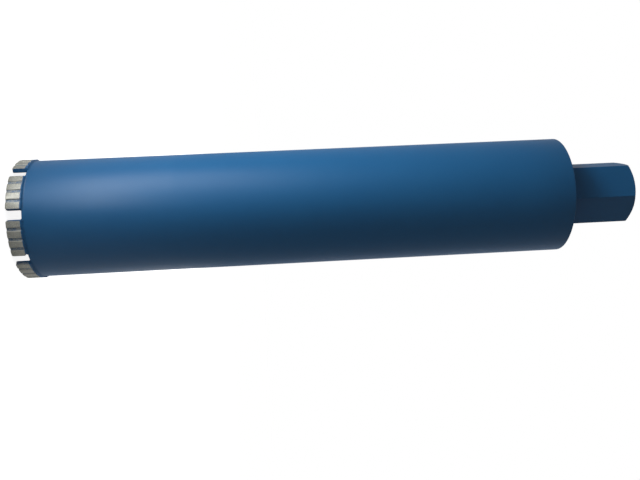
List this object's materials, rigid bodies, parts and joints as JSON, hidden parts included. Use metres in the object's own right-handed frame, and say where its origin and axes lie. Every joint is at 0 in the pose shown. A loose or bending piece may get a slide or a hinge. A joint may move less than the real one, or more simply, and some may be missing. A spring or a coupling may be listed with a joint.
{
  "type": "diamond core bit",
  "caption": "Wet diamond core bit: a long painted steel barrel with grooved cutting segments round its open end, and a threaded hexagonal drive hub on its back plate.",
  "frame": {"origin": "centre of the crown on the plane of the cutting tips, where the bit stands", "axes": "+Z along the drilling axis from the cutting tips to the open end of the drive hub; +X through the middle of a water gap"},
  "size_m": [0.0836, 0.0836, 0.4357],
  "materials": {
    "barrel_paint": "smooth satin blue enamel over steel",
    "plate_paint": "satin blue enamel over turned steel",
    "hub_paint": "satin blue enamel over machined steel, bare in the thread",
    "weld_paint": "rippled weld bead under satin blue enamel",
    "braze_paint": "silver braze fillet under thin blue enamel",
    "segment_matrix": "sintered diamond matrix, light grey, gritty"
  },
  "bodies": {
    "root": {"barrel_tube": "barrel_paint", "back_plate": "plate_paint", "rim_weld": "weld_paint", "hex_hub": "hub_paint", "hub_weld": "weld_paint", "segment_1": "segment_matrix", "segment_2": "segment_matrix", "segment_3": "segment_matrix", "segment_4": "segment_matrix", "segment_5": "segment_matrix", "segment_6": "segment_matrix", "segment_7": "segment_matrix", "segment_8": "segment_matrix", "braze_seam_1": "braze_paint", "braze_seam_2": "braze_paint", "braze_seam_3": "braze_paint", "braze_seam_4": "braze_paint", "braze_seam_5": "braze_paint", "braze_seam_6": "braze_paint", "braze_seam_7": "braze_paint", "braze_seam_8": "braze_paint"}
  },
  "joints": []
}
